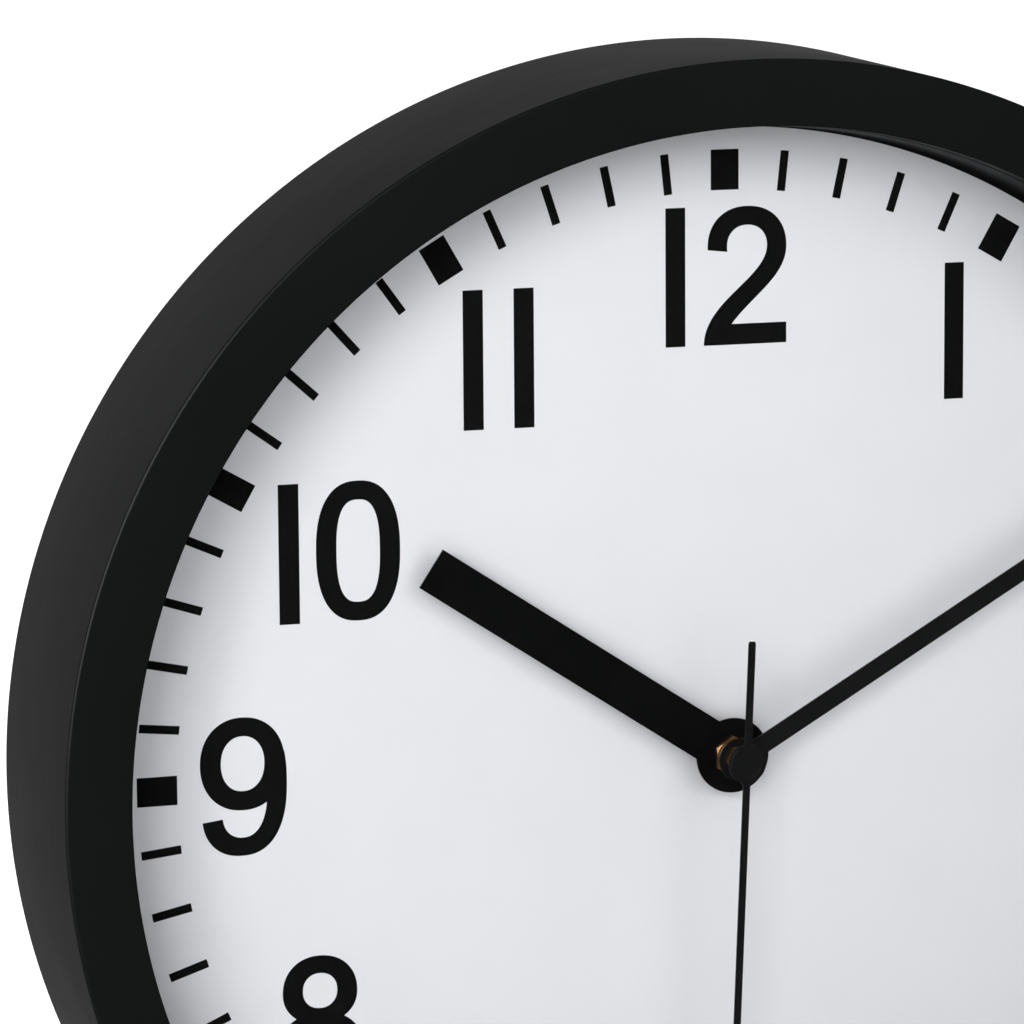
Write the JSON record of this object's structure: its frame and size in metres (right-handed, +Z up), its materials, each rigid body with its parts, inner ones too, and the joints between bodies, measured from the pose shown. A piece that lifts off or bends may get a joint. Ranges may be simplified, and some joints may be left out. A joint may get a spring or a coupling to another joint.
{
  "type": "wall clock",
  "caption": "Round wall clock with a deep black moulded ring, white numbered dial, flat baton hands, geared quartz movement, battery cell and keyhole hanger in the back.",
  "frame": {"origin": "centre of the case's rear rim, on the wall plane and on the hands' axis", "axes": "+Z up, the front faces -Y, +Y points into the wall, +X is to the right as seen from the front"},
  "size_m": [0.292, 0.0515, 0.292],
  "materials": {
    "black_case": "satin moulded",
    "black_plate": "fine matt texture",
    "clear_lens": "clear polished",
    "dial_white": "smooth matt print",
    "zinc_screw": "zinc plated",
    "movement_black": "fine matt texture",
    "white_gear": "moulded acetal",
    "brass_part": "turned",
    "washer_rubber": "matt",
    "stator_steel": "stamped",
    "bobbin_white": "moulded",
    "copper_wire": "enamelled copper wire",
    "board_green": "solder mask",
    "chip_epoxy": "cast epoxy",
    "can_silver": "drawn can",
    "contact_nickel": "nickel plated",
    "hand_black": "satin paint",
    "socket_steel": "turned",
    "hour_wheel_white": "moulded acetal",
    "magnet_dark": "sintered",
    "knob_white": "moulded",
    "battery_jacket": "wrapped steel can"
  },
  "bodies": {
    "case": {"case_rim": "black_case", "lens": "clear_lens", "dial": "dial_white", "back_plate": "black_plate", "back_plate_screws": "zinc_screw", "movement_housing": "movement_black", "movement_cover": "movement_black", "train_bridge": "white_gear", "mounting_bushing": "brass_part", "rubber_washer": "washer_rubber", "dial_washer": "brass_part", "mounting_nut": "brass_part", "stator": "stator_steel", "coil_bobbin": "bobbin_white", "coil_winding": "copper_wire", "circuit_board": "board_green", "clock_chip": "chip_epoxy", "quartz_crystal": "can_silver", "battery_contact": "contact_nickel", "battery_spring": "contact_nickel"},
    "second_train": {"second_hand": "hand_black", "second_hand_socket": "socket_steel", "seconds_arbor": "socket_steel", "seconds_wheel": "white_gear"},
    "minute_train": {"minute_hand": "hand_black", "minute_nut": "brass_part", "minute_shaft": "brass_part", "centre_wheel": "white_gear"},
    "hour_train": {"hour_hand": "hand_black", "hour_hand_bushing": "brass_part", "hour_wheel": "hour_wheel_white"},
    "third": {"third_wheel": "white_gear"},
    "intermediate": {"intermediate_wheel": "white_gear"},
    "rotor": {"rotor_pinion": "white_gear", "rotor_magnet": "magnet_dark"},
    "works": {"minute_works_wheel": "white_gear"},
    "knob": {"set_knob": "knob_white"},
    "cell": {"battery": "battery_jacket"}
  },
  "joints": [
    {"name": "second_hand_turn", "type": "hinge", "parent": "case", "child": "second_train", "pos_m": [0, -0.015, 0], "axis": [0, 1, 0], "continuous": true},
    {"name": "minute_hand_turn", "type": "hinge", "parent": "case", "child": "minute_train", "pos_m": [0, -0.015, 0], "axis": [0, 1, 0], "continuous": true},
    {"name": "hour_hand_turn", "type": "hinge", "parent": "case", "child": "hour_train", "pos_m": [0, -0.015, 0], "axis": [0, 1, 0], "continuous": true},
    {"name": "third_wheel_turn", "type": "hinge", "parent": "case", "child": "third", "pos_m": [0, -0.015, 0.0102], "axis": [0, 1, 0], "continuous": true},
    {"name": "intermediate_wheel_turn", "type": "hinge", "parent": "case", "child": "intermediate", "pos_m": [-0.0105, -0.015, 0], "axis": [0, 1, 0], "continuous": true},
    {"name": "rotor_turn", "type": "hinge", "parent": "case", "child": "rotor", "pos_m": [-0.01744, -0.015, 0.00827], "axis": [0, 1, 0], "continuous": true},
    {"name": "works_wheel_turn", "type": "hinge", "parent": "case", "child": "works", "pos_m": [0.0096, -0.015, 0], "axis": [0, 1, 0], "continuous": true},
    {"name": "set_knob_turn", "type": "hinge", "parent": "case", "child": "knob", "pos_m": [0.01695, -0.015, -0.00617], "axis": [0, 1, 0], "continuous": true},
    {"name": "battery_slide", "type": "slide", "parent": "case", "child": "cell", "axis": [0, 1, 0], "range_m": [0, 0.03]}
  ],
  "couplings": [
    {"joint": "minute_hand_turn", "follows": "second_hand_turn", "ratio": 0.016667},
    {"joint": "hour_hand_turn", "follows": "second_hand_turn", "ratio": 0.0013889},
    {"joint": "third_wheel_turn", "follows": "second_hand_turn", "ratio": -0.13333},
    {"joint": "intermediate_wheel_turn", "follows": "second_hand_turn", "ratio": -6},
    {"joint": "rotor_turn", "follows": "second_hand_turn", "ratio": 30},
    {"joint": "works_wheel_turn", "follows": "second_hand_turn", "ratio": -0.0055556},
    {"joint": "set_knob_turn", "follows": "second_hand_turn", "ratio": 0.016667}
  ]
}
